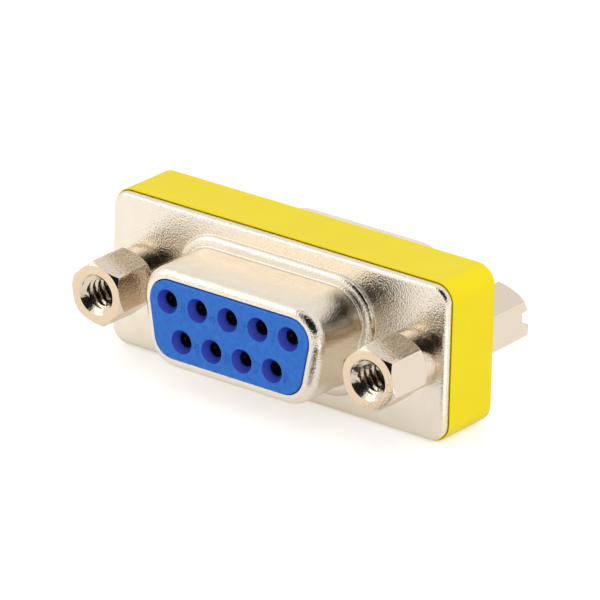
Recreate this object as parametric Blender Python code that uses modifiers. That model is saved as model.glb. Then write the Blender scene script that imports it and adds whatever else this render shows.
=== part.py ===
"""Nine-way D-sub gender changer with a socket face on both sides, in metres, +Z up.

The connector axis runs along Y and the body stands on its long lower side. Both halves are
built from the same pieces: the rear half is the front half turned half a turn about X, so
that a contact joins the same way number on both faces with a single step between the rows.

Each half has its own frame. Its origin is on the connector axis, at the outer face of the
flange plate, and its -Y points out of the half. A point's reach is its distance out of it.
"""

import math

import bmesh
import bpy
from mathutils import Matrix

MM = 0.001
DEG = math.pi / 180

# Contact grid, from which the rest is laid out
PITCH = 2.77 * MM
ROW_SPACING = 2.84 * MM
LONG_ROW = 5
SHORT_ROW = 4

# D-shaped shell, drawn out of the flange plate
SHEET = 0.30 * MM
SHELL_END_MARGIN = 2.625 * MM
SHELL_ROW_MARGIN = 2.53 * MM
SHELL_SLANT = 10 * DEG
SHELL_CORNER = 2.60 * MM
SHELL_REACH = 5.64 * MM
LIP_RADIUS = 0.90 * MM
SHOULDER_WIDTH = 0.85 * MM
SHOULDER_INNER_ROUND = 0.08 * MM
SHOULDER_ROOT = 0.08 * MM

# Body: two drawn trays, edge to edge, and the band round them
SCREW_MARGIN = 4.33 * MM
PLATE_END_MARGIN = 2.915 * MM
PLATE_SIDE_MARGIN = 2.115 * MM
BODY_DEPTH = 5.78 * MM
BODY_CORNER = 1.40 * MM
BEND_INNER_RADIUS = 0.08 * MM
TRAY_SEAM = 0.30 * MM
BAND_THICKNESS = 0.12 * MM
BAND_LIFT = 0.02 * MM
BAND_FRONT_SETBACK = 0.55 * MM
BAND_REAR_SETBACK = 0.18 * MM

# Insulator, moulded in one piece with a flange that fills its tray
NOSE_GAP = 0.05 * MM
SEATING_GAP = 0.30 * MM
FACE_RISE = 0.19 * MM
NOSE_EDGE = 0.12 * MM
NOSE_STEP_LENGTH = 0.35 * MM
NOSE_STEP_SETBACK = 1.00 * MM
FLANGE_CHAMFER = 0.25 * MM
FLANGE_FLOOR = 0.80 * MM
POCKET_WALL = 0.55 * MM
POCKET_CORNER = 1.00 * MM

# Contacts
LEAD_IN_RADIUS = 0.93 * MM
LEAD_IN_DEPTH = 0.56 * MM
ENTRY_RADIUS = 0.58 * MM
ENTRY_DEPTH = 1.00 * MM
SOCKET_RADIUS = 0.80 * MM
SOCKET_BORE_RADIUS = 0.53 * MM
SOCKET_BORE_DEPTH = 4.20 * MM
SOCKET_CHAMFER = 0.12 * MM
SOCKET_SETBACK = 0.30 * MM
SOCKET_SLACK = 0.06 * MM
SOCKET_SLIT_WIDTH = 0.16 * MM
SOCKET_SLIT_LENGTH = 3.20 * MM
TAIL_RADIUS = 0.35 * MM
TAIL_ROOT = 0.30 * MM

# Fasteners
THREAD_RADIUS = 1.42 * MM
THREAD_SLACK = 0.04 * MM
SCREW_HOLE_SLACK = 0.18 * MM
HEX_ACROSS_FLATS = 4.46 * MM
HEX_CHAMFER = 0.33 * MM
HEX_CHAMFER_SLOPE = 42 * DEG
COUNTERSINK = 0.12 * MM
STANDOFF_REACH = 5.48 * MM
STANDOFF_NECK_LENGTH = 1.45 * MM
NECK_RADIUS = 2.22 * MM
STANDOFF_TURN = 12 * DEG
JACKSCREW_REACH = 5.40 * MM
JACKSCREW_NECK_LENGTH = 0.45 * MM
JACKSCREW_TURN = 8 * DEG
JACKSCREW_BORE_DEPTH = 3.30 * MM
SLOT_WIDTH = 1.00 * MM
SLOT_DEPTH = 0.75 * MM
STUD_GRIP = 2.20 * MM
STUD_CHAMFER = 0.45 * MM
UNDERCUT_DEPTH = 0.15 * MM
UNDERCUT_LENGTH = 0.20 * MM
SEAT_GAP = 0.02 * MM

# Facets
CORNER_STEPS = 6
BEND_STEPS = 3
LIP_STEPS = 4
ROOT_STEPS = 1
SHOULDER_STEPS = 3
FASTENER_STEPS = 24
WAY_STEPS = 12
SOCKET_STEPS = 12
TAIL_POINTS = 7
OVERCUT = 0.50 * MM
WELD = 0.001 * MM
SHARP_ANGLE = 35 * DEG

# Sizes that follow from the ones above
SHELL_WIDTH = (LONG_ROW - 1) * PITCH + 2 * SHELL_END_MARGIN
SHELL_HEIGHT = ROW_SPACING + 2 * SHELL_ROW_MARGIN
SCREW_SPACING = SHELL_WIDTH + 2 * SCREW_MARGIN
BODY_WIDTH = SCREW_SPACING + 2 * PLATE_END_MARGIN
BODY_HEIGHT = SHELL_HEIGHT + 2 * PLATE_SIDE_MARGIN
SHOULDER_ROUND = SHEET + SHOULDER_INNER_ROUND
BEND_RADIUS = SHEET + BEND_INNER_RADIUS
SCREW_HOLE_RADIUS = THREAD_RADIUS + SCREW_HOLE_SLACK
AXIS_HEIGHT = BODY_HEIGHT / 2 + BAND_LIFT + BAND_THICKNESS
HALF_DEPTH = BODY_DEPTH / 2
FACE_REACH = SHELL_REACH + FACE_RISE
POCKET_FLOOR = SHEET + SEATING_GAP + FLANGE_FLOOR
HEX_CORNER_RADIUS = HEX_ACROSS_FLATS / 2 / math.cos(30 * DEG)
HEX_FACE_RADIUS = HEX_CORNER_RADIUS - HEX_CHAMFER
BORE_RADIUS = THREAD_RADIUS + THREAD_SLACK


def clear_scene():
    for item in list(bpy.data.objects):
        bpy.data.objects.remove(item, do_unlink=True)


def new_collection(name):
    collection = bpy.data.collections.new(name)
    bpy.context.scene.collection.children.link(collection)
    return collection


def new_material(name, colour, roughness, metallic):
    material = bpy.data.materials.new(name)
    material.use_nodes = True
    shader = material.node_tree.nodes["Principled BSDF"]
    shader.inputs["Base Color"].default_value = (*colour, 1.0)
    shader.inputs["Roughness"].default_value = roughness
    shader.inputs["Metallic"].default_value = metallic
    return material


def mesh_of(bm, name):
    bmesh.ops.recalc_face_normals(bm, faces=bm.faces)
    mesh = bpy.data.meshes.new(name)
    bm.to_mesh(mesh)
    bm.free()
    return mesh


def baked(item, name):
    """Returns the mesh that the object's modifiers give, and removes the object."""
    graph = bpy.context.evaluated_depsgraph_get()
    mesh = bpy.data.meshes.new_from_object(item.evaluated_get(graph), depsgraph=graph)
    mesh.transform(item.matrix_world)
    mesh.name = name
    bpy.data.objects.remove(item, do_unlink=True)
    return mesh


def helper(mesh, workshop):
    """Links a construction object, which isn't part of the product."""
    item = bpy.data.objects.new(mesh.name, mesh)
    item.hide_render = True
    item.display_type = "WIRE"
    workshop.objects.link(item)
    return item


def combined(base, steps, name, workshop):
    """Joins, cuts or crosses a mesh with others in turn: steps are (operation, mesh)."""
    item = helper(base, workshop)
    tools = []
    for operation, mesh in steps:
        tool = helper(mesh, workshop)
        modifier = item.modifiers.new(mesh.name, "BOOLEAN")
        modifier.operation = operation
        modifier.solver = "EXACT"
        modifier.object = tool
        tools.append(tool)
    bpy.context.view_layer.update()
    result = baked(item, name)
    for tool in tools:
        bpy.data.objects.remove(tool, do_unlink=True)
    return result


def place(name, mesh, material, collection, parent, location=(0, 0, 0), rotation=(0, 0, 0)):
    """Puts one named piece of the product in its place."""
    if not mesh.materials:
        mesh.materials.append(material)
    mesh.shade_smooth()
    mesh.set_sharp_from_angle(angle=SHARP_ANGLE)
    item = bpy.data.objects.new(name, mesh)
    item.parent = parent
    item.location = location
    item.rotation_euler = rotation
    collection.objects.link(item)
    return item


def body_corners():
    """Centres and sweeps of the flange plate's four corner arcs, for radius BODY_CORNER."""
    x = BODY_WIDTH / 2 - BODY_CORNER
    z = BODY_HEIGHT / 2 - BODY_CORNER
    return [(x, z, 0, 90), (-x, z, 90, 180), (-x, -z, 180, 270), (x, -z, 270, 360)]


def shell_corners():
    """The same for the D, whose wide side is up and whose ends slant, for SHELL_CORNER."""
    slant = SHELL_SLANT / DEG
    z = SHELL_HEIGHT / 2 - SHELL_CORNER
    wide = SHELL_WIDTH / 2 - SHELL_CORNER
    narrow = wide - 2 * z * math.tan(SHELL_SLANT)
    return [
        (wide, z, -slant, 90),
        (-wide, z, 90, 180 + slant),
        (-narrow, -z, 180 + slant, 270),
        (narrow, -z, 270, 360 - slant),
    ]


def outline(corners, radius):
    """Points (x, z) round a shape whose corner arcs share the given centres."""
    points = []
    for x, z, start, end in corners:
        for step in range(CORNER_STEPS + 1):
            angle = (start + (end - start) * step / CORNER_STEPS) * DEG
            points.append((x + radius * math.cos(angle), z + radius * math.sin(angle)))
    return points


def circle(centre_x, radius, steps):
    angles = [2 * math.pi * step / steps for step in range(steps)]
    return [(centre_x + radius * math.cos(a), radius * math.sin(a)) for a in angles]


def add_ring(bm, points, reach):
    """Adds a closed loop of edges across Y, at the given distance out of the half."""
    corners = [bm.verts.new((x, -reach, z)) for x, z in points]
    return [bm.edges.new(pair) for pair in zip(corners, corners[1:] + corners[:1])]


def skin(bm, rings):
    """Joins each ring to the next one with a strip of faces."""
    for lower, upper in zip(rings, rings[1:]):
        bmesh.ops.bridge_loops(bm, edges=lower + upper)


def cap(bm, ring):
    bmesh.ops.contextual_create(bm, geom=ring)


def arc(centre, radius, start, end, steps):
    """Points (inset, reach) on an arc of a wall's section; the angles are in degrees."""
    points = []
    for step in range(steps + 1):
        angle = (start + (end - start) * step / steps) * DEG
        points.append((centre[0] + radius * math.cos(angle), centre[1] + radius * math.sin(angle)))
    return points


def bend_section():
    """Outer face of a tray's wall, from its free edge round the bend to the plate."""
    bend = arc((BEND_RADIUS, -BEND_RADIUS), BEND_RADIUS, 180, 90, BEND_STEPS)
    return [(0, -(HALF_DEPTH - TRAY_SEAM / 2))] + bend


def drawn_section():
    """Outer face of the D, from the plate over the shoulder and up the wall into the lip."""
    root_centre = (-SHOULDER_WIDTH - SHOULDER_ROOT, SHOULDER_ROOT)
    root = arc(root_centre, SHOULDER_ROOT, -90, 0, ROOT_STEPS)
    shoulder_centre = (-SHOULDER_WIDTH + SHOULDER_ROUND, SHOULDER_ROOT)
    shoulder = arc(shoulder_centre, SHOULDER_ROUND, 180, 90, SHOULDER_STEPS)[1:]
    foot = [(0, SHOULDER_ROOT + SHOULDER_ROUND)]
    lip = arc((LIP_RADIUS, SHELL_REACH - LIP_RADIUS), LIP_RADIUS, 180, 90, LIP_STEPS)
    return root + shoulder + foot + lip


def build_shell_sheet():
    """Outer skin of one tray with its D, screw holes and rims left open."""
    bm = bmesh.new()
    body = body_corners()
    shell = shell_corners()
    tray = [add_ring(bm, outline(body, BODY_CORNER - inset), reach) for inset, reach in bend_section()]
    drawn = [add_ring(bm, outline(shell, SHELL_CORNER - inset), reach) for inset, reach in drawn_section()]
    skin(bm, tray)
    skin(bm, drawn)
    plate_edges = tray[-1] + drawn[0]
    for side in (-1, 1):
        hole = circle(side * SCREW_SPACING / 2, SCREW_HOLE_RADIUS, FASTENER_STEPS)
        plate_edges += add_ring(bm, hole, 0)
    bmesh.ops.triangle_fill(bm, use_beauty=True, edges=plate_edges)
    return mesh_facing_out(bm, "shell_sheet")


def mesh_facing_out(bm, name):
    """Turns an open skin so that the flange plate faces out of the half, towards -Y."""
    bmesh.ops.recalc_face_normals(bm, faces=bm.faces)
    foremost = max(bm.verts, key=lambda vertex: -vertex.co.y)
    if foremost.normal.y > 0:
        bmesh.ops.reverse_faces(bm, faces=bm.faces)
    mesh = bpy.data.meshes.new(name)
    bm.to_mesh(mesh)
    bm.free()
    return mesh


def thicken(item, thickness, offset):
    """Gives an open skin its wall; the offset is -1 to grow inwards and 1 to grow outwards."""
    modifier = item.modifiers.new("Wall", "SOLIDIFY")
    modifier.thickness = thickness
    modifier.offset = offset
    modifier.use_even_offset = True
    modifier.use_quality_normals = True


def build_band_skin():
    """Inner face of the band, a closed loop round the trays that reaches nearly to the rear."""
    bm = bmesh.new()
    points = outline(body_corners(), BODY_CORNER + BAND_LIFT)
    front = HALF_DEPTH - BAND_FRONT_SETBACK
    rear = HALF_DEPTH - BAND_REAR_SETBACK
    skin(bm, [add_ring(bm, points, -rear), add_ring(bm, points, front)])
    bmesh.ops.recalc_face_normals(bm, faces=bm.faces)
    top = max(bm.faces, key=lambda face: face.calc_center_median().z)
    if top.normal.z < 0:
        bmesh.ops.reverse_faces(bm, faces=bm.faces)
    mesh = bpy.data.meshes.new("band_skin")
    bm.to_mesh(mesh)
    bm.free()
    return mesh


def build_turned(name, profile, steps, workshop):
    """Turns a profile of (radius, height) points about Z, listed from the top to the bottom."""
    bm = bmesh.new()
    points = [bm.verts.new((radius, 0, height)) for radius, height in profile]
    for pair in zip(points, points[1:]):
        bm.edges.new(pair)
    mesh = bpy.data.meshes.new(name)
    bm.to_mesh(mesh)
    bm.free()
    item = helper(mesh, workshop)
    modifier = item.modifiers.new("Turn", "SCREW")
    modifier.steps = steps
    modifier.render_steps = steps
    modifier.use_merge_vertices = True
    modifier.merge_threshold = WELD
    bpy.context.view_layer.update()
    return baked(item, name)


def build_loft(name, rings):
    """Closed solid through rings of (points, reach)."""
    bm = bmesh.new()
    loops = [add_ring(bm, points, reach) for points, reach in rings]
    skin(bm, loops)
    cap(bm, loops[0])
    cap(bm, loops[-1])
    return mesh_of(bm, name)


def way_places():
    """Places (x, z) of the nine ways on a face: five above, four below."""
    rows = [(LONG_ROW, ROW_SPACING / 2), (SHORT_ROW, -ROW_SPACING / 2)]
    return [((step - (count - 1) / 2) * PITCH, z) for count, z in rows for step in range(count)]


def build_copies(name, mesh, matrices):
    """One mesh that holds a separate copy of another at each place."""
    bm = bmesh.new()
    for matrix in matrices:
        piece = mesh.copy()
        piece.transform(matrix)
        bm.from_mesh(piece)
        bpy.data.meshes.remove(piece)
    return mesh_of(bm, name)


def build_insulator(workshop):
    """Moulded block: nose, flange, nine stepped ways, a rear pocket and two screw holes."""
    shell = shell_corners()
    body = body_corners()
    inner = SHEET + SEATING_GAP
    nose_inset = LIP_RADIUS + NOSE_GAP
    step_reach = SHELL_REACH - LIP_RADIUS - NOSE_STEP_SETBACK + NOSE_STEP_LENGTH
    flange_front = -(SHEET + SEATING_GAP)
    flange_back = -(HALF_DEPTH - TRAY_SEAM / 2)
    nose = build_loft("nose", [
        (outline(shell, SHELL_CORNER - nose_inset - NOSE_EDGE), FACE_REACH),
        (outline(shell, SHELL_CORNER - nose_inset), FACE_REACH - NOSE_EDGE),
        (outline(shell, SHELL_CORNER - nose_inset), step_reach),
        (outline(shell, SHELL_CORNER - inner), step_reach - NOSE_STEP_LENGTH),
        (outline(shell, SHELL_CORNER - inner), flange_front - OVERCUT),
    ])
    flange = build_loft("flange", [
        (outline(body, BODY_CORNER - inner - FLANGE_CHAMFER), flange_front),
        (outline(body, BODY_CORNER - inner), flange_front - FLANGE_CHAMFER),
        (outline(body, BODY_CORNER - inner), flange_back),
    ])
    way = build_turned("way", way_profile(), WAY_STEPS, workshop)
    ways = build_copies("ways", way, [out_of_face(x, z) for x, z in way_places()])
    hole = build_turned("screw_clearance", [
        (0, OVERCUT),
        (SCREW_HOLE_RADIUS, OVERCUT),
        (SCREW_HOLE_RADIUS, -(HALF_DEPTH + OVERCUT)),
        (0, -(HALF_DEPTH + OVERCUT)),
    ], FASTENER_STEPS, workshop)
    holes = build_copies("screw_holes", hole, [out_of_face(side * SCREW_SPACING / 2, 0) for side in (-1, 1)])
    steps = [("UNION", flange), ("DIFFERENCE", build_pocket()), ("DIFFERENCE", ways), ("DIFFERENCE", holes)]
    return combined(nose, steps, "insulator", workshop)


def out_of_face(x, z):
    """Matrix that stands a turned shape's Z along a half's outward direction at (x, z)."""
    return Matrix.Translation((x, 0, z)) @ Matrix.Rotation(90 * DEG, 4, "X")


def way_profile():
    """Cut for one way: lead-in cone, entry and the cavity that holds the contact."""
    slope = (LEAD_IN_RADIUS - ENTRY_RADIUS) / LEAD_IN_DEPTH
    cavity = SOCKET_RADIUS + SOCKET_SLACK
    cavity_end = -(POCKET_FLOOR + OVERCUT)
    return [
        (0, FACE_REACH + OVERCUT),
        (LEAD_IN_RADIUS + OVERCUT * slope, FACE_REACH + OVERCUT),
        (ENTRY_RADIUS, FACE_REACH - LEAD_IN_DEPTH),
        (ENTRY_RADIUS, FACE_REACH - ENTRY_DEPTH),
        (cavity, FACE_REACH - ENTRY_DEPTH),
        (cavity, cavity_end),
        (0, cavity_end),
    ]


def build_pocket():
    """Cut in the back of the flange, where the contacts step from row to row."""
    cavity = SOCKET_RADIUS + SOCKET_SLACK
    half_width = (LONG_ROW - 1) / 2 * PITCH + cavity + POCKET_WALL
    half_height = ROW_SPACING / 2 + cavity + POCKET_WALL
    x = half_width - POCKET_CORNER
    z = half_height - POCKET_CORNER
    corners = [(x, z, 0, 90), (-x, z, 90, 180), (-x, -z, 180, 270), (x, -z, 270, 360)]
    points = outline(corners, POCKET_CORNER)
    return build_loft("pocket", [(points, -POCKET_FLOOR), (points, -(HALF_DEPTH + OVERCUT))])


def build_contact(workshop):
    """Contact with a split socket at each end, whose tail steps from one row to the other."""
    mouth = HALF_DEPTH + FACE_REACH - ENTRY_DEPTH - SOCKET_SLACK
    pocket_half_depth = HALF_DEPTH - POCKET_FLOOR
    socket_back = pocket_half_depth + SOCKET_SETBACK
    socket = build_turned("socket", [
        (0, mouth - SOCKET_BORE_DEPTH),
        (SOCKET_BORE_RADIUS, mouth - SOCKET_BORE_DEPTH),
        (SOCKET_BORE_RADIUS, mouth - SOCKET_CHAMFER),
        (SOCKET_BORE_RADIUS + SOCKET_CHAMFER, mouth),
        (SOCKET_RADIUS - SOCKET_CHAMFER / 2, mouth),
        (SOCKET_RADIUS, mouth - SOCKET_CHAMFER),
        (SOCKET_RADIUS, socket_back),
        (0, socket_back),
    ], SOCKET_STEPS, workshop)
    turn = Matrix.Rotation(180 * DEG, 4, "X")
    front = out_of_face(0, ROW_SPACING / 2)
    split_socket = combined(socket, [("DIFFERENCE", build_slit(mouth))], "split_socket", workshop)
    sockets = build_copies("sockets", split_socket, [front, turn @ front])
    tail = build_tail(pocket_half_depth, socket_back + TAIL_ROOT)
    return combined(tail, [("UNION", sockets)], "contact", workshop)


def build_slit(mouth):
    """Bar that splits the front of a socket into two springs."""
    size = (2 * SOCKET_RADIUS + OVERCUT, SOCKET_SLIT_WIDTH, SOCKET_SLIT_LENGTH + OVERCUT)
    return build_bar("slit", size, mouth - SOCKET_SLIT_LENGTH)


def build_tail(bend, half_length):
    """Round tail on a smooth step between the rows, with straight ends in the sockets."""
    curve = bpy.data.curves.new("tail", "CURVE")
    curve.dimensions = "3D"
    curve.bevel_depth = TAIL_RADIUS
    curve.bevel_resolution = 2
    curve.use_fill_caps = True
    route = [(-half_length, ROW_SPACING / 2)]
    for step in range(TAIL_POINTS):
        share = step / (TAIL_POINTS - 1)
        route.append((bend * (2 * share - 1), ROW_SPACING / 2 * math.cos(math.pi * share)))
    route.append((half_length, -ROW_SPACING / 2))
    spline = curve.splines.new("POLY")
    spline.points.add(len(route) - 1)
    for point, (y, z) in zip(spline.points, route):
        point.co = (0, y, z, 1)
    item = bpy.data.objects.new("tail", curve)
    bpy.context.scene.collection.objects.link(item)
    bpy.context.view_layer.update()
    mesh = baked(item, "tail")
    bm = bmesh.new()
    bm.from_mesh(mesh)
    bmesh.ops.remove_doubles(bm, verts=bm.verts, dist=WELD)
    return mesh_of(bm, "tail")


def build_bar(name, size, bottom):
    """Rectangular bar centred on Z, standing on the given height."""
    bm = bmesh.new()
    middle = Matrix.Translation((0, 0, bottom + size[2] / 2))
    bmesh.ops.create_cube(bm, size=1, matrix=middle @ Matrix.Diagonal((*size, 1)))
    return mesh_of(bm, name)


def build_hex_bar(name, top, bottom):
    """Six-sided bar about Z between two heights."""
    bm = bmesh.new()
    bmesh.ops.create_cone(
        bm,
        cap_ends=True,
        segments=6,
        radius1=HEX_CORNER_RADIUS,
        radius2=HEX_CORNER_RADIUS,
        depth=top - bottom,
        matrix=Matrix.Translation((0, 0, (top + bottom) / 2)),
    )
    return mesh_of(bm, name)


def chamfered_envelope(top, bottom):
    """Profile round a hexagon that cuts its corners back at both ends."""
    drop = (HEX_CHAMFER + OVERCUT) * math.tan(HEX_CHAMFER_SLOPE)
    wide = HEX_CORNER_RADIUS + OVERCUT
    return [
        (0, top),
        (HEX_FACE_RADIUS, top),
        (wide, top - drop),
        (wide, bottom + drop),
        (HEX_FACE_RADIUS, bottom),
        (0, bottom),
    ]


def neck_profile(length, radius):
    """Round neck from inside the hexagon down to its seat, with an undercut at the seat."""
    waist = radius - UNDERCUT_DEPTH
    return [
        (0, length + OVERCUT),
        (radius, length + OVERCUT),
        (radius, SEAT_GAP + UNDERCUT_LENGTH + UNDERCUT_DEPTH),
        (waist, SEAT_GAP + UNDERCUT_LENGTH),
        (waist, SEAT_GAP),
        (0, SEAT_GAP),
    ]


def bore_profile(top, bottom):
    """Cut for a threaded bore that is countersunk at its top."""
    return [
        (0, top + OVERCUT),
        (BORE_RADIUS + COUNTERSINK + OVERCUT, top + OVERCUT),
        (BORE_RADIUS, top - COUNTERSINK),
        (BORE_RADIUS, bottom),
        (0, bottom),
    ]


def build_standoff(workshop):
    """Hexagonal threaded standoff with a round neck that seats on the flange plate."""
    hexagon = build_hex_bar("hexagon", STANDOFF_REACH, STANDOFF_NECK_LENGTH)
    envelope = chamfered_envelope(STANDOFF_REACH, STANDOFF_NECK_LENGTH)
    neck = neck_profile(STANDOFF_NECK_LENGTH, NECK_RADIUS)
    bore = bore_profile(STANDOFF_REACH, -OVERCUT)
    steps = [
        ("INTERSECT", build_turned("envelope", envelope, FASTENER_STEPS, workshop)),
        ("UNION", build_turned("neck", neck, FASTENER_STEPS, workshop)),
        ("DIFFERENCE", build_turned("bore", bore, FASTENER_STEPS, workshop)),
    ]
    return combined(hexagon, steps, "standoff", workshop)


def build_jackscrew(workshop):
    """Slotted hexagonal screw whose stud runs through the body into the standoff."""
    hexagon = build_hex_bar("hexagon", JACKSCREW_REACH, JACKSCREW_NECK_LENGTH)
    envelope = chamfered_envelope(JACKSCREW_REACH, JACKSCREW_NECK_LENGTH)
    neck = neck_profile(JACKSCREW_NECK_LENGTH, NECK_RADIUS)
    stud_end = -(BODY_DEPTH + STUD_GRIP)
    stud = [
        (0, OVERCUT),
        (THREAD_RADIUS, OVERCUT),
        (THREAD_RADIUS, stud_end + STUD_CHAMFER),
        (THREAD_RADIUS - STUD_CHAMFER, stud_end),
        (0, stud_end),
    ]
    bore = bore_profile(JACKSCREW_REACH, JACKSCREW_REACH - JACKSCREW_BORE_DEPTH)
    steps = [
        ("INTERSECT", build_turned("envelope", envelope, FASTENER_STEPS, workshop)),
        ("UNION", build_turned("neck", neck, FASTENER_STEPS, workshop)),
        ("UNION", build_turned("stud", stud, FASTENER_STEPS, workshop)),
        ("DIFFERENCE", build_turned("bore", bore, FASTENER_STEPS, workshop)),
        ("DIFFERENCE", build_slot_cutter()),
    ]
    return combined(hexagon, steps, "jackscrew", workshop)


def build_slot_cutter():
    """Bar that cuts the screwdriver slot across the jackscrew's end."""
    size = (2 * (HEX_CORNER_RADIUS + OVERCUT), SLOT_WIDTH, SLOT_DEPTH + OVERCUT)
    return build_bar("slot", size, JACKSCREW_REACH - SLOT_DEPTH)


def new_frame(name, collection, location, rotation=(0, 0, 0)):
    frame = bpy.data.objects.new(name, None)
    frame.location = location
    frame.rotation_euler = rotation
    collection.objects.link(frame)
    return frame


def build():
    clear_scene()
    product = new_collection("dsub_gender_changer")
    workshop = new_collection("cutters")
    workshop.hide_render = True
    plated = new_material("plated_steel", (0.80, 0.74, 0.66), 0.22, 1.0)
    nickel = new_material("nickel_brass", (0.78, 0.72, 0.63), 0.16, 1.0)
    blue = new_material("blue_plastic", (0.03, 0.16, 0.56), 0.45, 0.0)
    yellow = new_material("yellow_film", (0.90, 0.74, 0.02), 0.40, 0.0)
    gold = new_material("gold_contact", (0.85, 0.62, 0.25), 0.25, 1.0)

    centre = new_frame("body_centre", product, (0, 0, AXIS_HEIGHT))
    front = new_frame("front_half", product, (0, -HALF_DEPTH, AXIS_HEIGHT))
    rear = new_frame("rear_half", product, (0, HALF_DEPTH, AXIS_HEIGHT), (180 * DEG, 0, 0))

    sheet = build_shell_sheet()
    insulator = build_insulator(workshop)
    for name, frame in (("front", front), ("rear", rear)):
        thicken(place(f"{name}_shell", sheet, plated, product, frame), SHEET, -1)
        place(f"{name}_insulator", insulator, blue, product, frame)

    band = place("label_band", build_band_skin(), yellow, product, centre)
    thicken(band, BAND_THICKNESS, 1)

    contact = build_contact(workshop)
    for number, (x, z) in enumerate(way_places(), start=1):
        roll = 0 if z > 0 else 180 * DEG
        place(f"contact_{number}", contact, gold, product, centre, (x, 0, 0), (0, roll, 0))

    standoff = build_standoff(workshop)
    jackscrew = build_jackscrew(workshop)
    for name, side in (("left", -1), ("right", 1)):
        spot = (side * SCREW_SPACING / 2, 0, 0)
        standoff_turn = (90 * DEG, -STANDOFF_TURN, 0)
        jackscrew_turn = (90 * DEG, JACKSCREW_TURN, 0)
        place(f"standoff_{name}", standoff, nickel, product, front, spot, standoff_turn)
        place(f"jackscrew_{name}", jackscrew, nickel, product, rear, spot, jackscrew_turn)


build()
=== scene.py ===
"""Visual model of a nine-way D-sub gender changer, over its CAD nodes, in metres, +Z up.

Every node but the contacts is drawn again in the same place and size, with finer curves, rounded
edges and threads. As in the CAD, each half has a frame on its flange plate whose -Y points out of
the half, and a point's reach is its distance out of it.

A section of a sheet or block is a list of (inset, reach) points, where the inset is measured
inwards from an outline. A section of a turned part is a list of (radius, height) points.
"""

import math

import bmesh
import bpy
from mathutils import Matrix, Quaternion, Vector


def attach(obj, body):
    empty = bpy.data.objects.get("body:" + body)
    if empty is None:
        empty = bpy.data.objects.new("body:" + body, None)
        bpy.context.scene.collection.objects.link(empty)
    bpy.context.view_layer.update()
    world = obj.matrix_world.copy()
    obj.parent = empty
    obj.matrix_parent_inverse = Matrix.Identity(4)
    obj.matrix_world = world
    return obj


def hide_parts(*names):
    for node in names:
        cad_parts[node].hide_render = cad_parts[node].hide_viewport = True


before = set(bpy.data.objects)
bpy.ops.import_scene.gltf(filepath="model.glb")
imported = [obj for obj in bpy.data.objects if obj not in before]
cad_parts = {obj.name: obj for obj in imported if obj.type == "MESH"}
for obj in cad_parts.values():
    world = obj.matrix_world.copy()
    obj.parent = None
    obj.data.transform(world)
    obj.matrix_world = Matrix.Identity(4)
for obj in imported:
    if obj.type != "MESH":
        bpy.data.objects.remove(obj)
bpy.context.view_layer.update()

MM = 0.001
DEG = math.pi / 180

# Contact grid
PITCH = 2.77 * MM
ROW_SPACING = 2.84 * MM
LONG_ROW = 5
SHORT_ROW = 4

# D shell; its lip's arcs end at angles in degrees
SHEET = 0.30 * MM
SHELL_END_MARGIN = 2.625 * MM
SHELL_ROW_MARGIN = 2.53 * MM
SHELL_SLANT = 10 * DEG
SHELL_CORNER = 2.60 * MM
SHELL_REACH = 5.64 * MM
LIP_RADIUS = 0.90 * MM
LIP_OUTER_END = 94
LIP_INNER_END = 96
SHOULDER_WIDTH = 0.85 * MM
SHOULDER_INNER_ROUND = 0.08 * MM
SHOULDER_ROOT = 0.08 * MM
FOOT_ROUND = 0.16 * MM
RIM_ROUND = 0.06 * MM

# Tray and band
SCREW_MARGIN = 4.33 * MM
PLATE_END_MARGIN = 2.915 * MM
PLATE_SIDE_MARGIN = 2.115 * MM
BODY_DEPTH = 5.78 * MM
BODY_CORNER = 1.40 * MM
BEND_INNER_RADIUS = 0.08 * MM
TRAY_SEAM = 0.30 * MM
BAND_THICKNESS = 0.12 * MM
BAND_LIFT = 0.02 * MM
BAND_FRONT_SETBACK = 0.55 * MM
BAND_REAR_SETBACK = 0.18 * MM
BAND_EDGE = 0.05 * MM

# Insulator
NOSE_GAP = 0.05 * MM
SEATING_GAP = 0.30 * MM
FACE_RISE = 0.19 * MM
NOSE_EDGE = 0.12 * MM
NOSE_STEP_LENGTH = 0.35 * MM
NOSE_STEP_SETBACK = 1.00 * MM
FLANGE_CHAMFER = 0.25 * MM
FLANGE_FLOOR = 0.80 * MM
POCKET_WALL = 0.55 * MM
POCKET_CORNER = 1.00 * MM
LEAD_IN_RADIUS = 0.93 * MM
LEAD_IN_DEPTH = 0.56 * MM
CONE_BREAK = 0.04 * MM
ENTRY_BREAK = 0.03 * MM
ENTRY_RADIUS = 0.58 * MM
ENTRY_DEPTH = 1.00 * MM
CAVITY_RADIUS = 0.86 * MM
DIGIT_SIZE = 1.20 * MM
DIGIT_RELIEF = 0.05 * MM
DIGIT_DROP = 0.25 * MM
ROW_END_OFFSET = 1.24 * MM
WAY_LABELS = (5, 4, 3, 2, 1, 9, 8, 7, 6)
ROW_END_LABELS = (1, 6)

# Fasteners
THREAD_PITCH = 0.635 * MM
THREAD_RADIUS = 1.42 * MM
CREST_RADIUS = 1.09 * MM
STUD_ROOT_RADIUS = 1.04 * MM
OUTER_FLAT = 0.125
INNER_FLAT = 0.25
SPARE_TURNS = 2
SCREW_HOLE_SLACK = 0.18 * MM
HEX_APOTHEM = 2.23 * MM
HEX_FACE_RADIUS = 2.245 * MM
HEX_CHAMFER_SLOPE = 42 * DEG
EDGE_ROUND = 0.035 * MM
MOUTH_RADIUS = 1.58 * MM
MOUTH_SLOPE = 1.3
# End ring round the bore that takes the golden painted reflection
END_RING_MARGIN = 0.05 * MM
END_RING_FACING = 0.9
STANDOFF_REACH = 5.48 * MM
STANDOFF_NECK_LENGTH = 1.45 * MM
NECK_RADIUS = 2.22 * MM
STANDOFF_TURN = 12 * DEG
JACKSCREW_REACH = 5.40 * MM
JACKSCREW_NECK_LENGTH = 0.45 * MM
JACKSCREW_TURN = 8 * DEG
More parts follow.
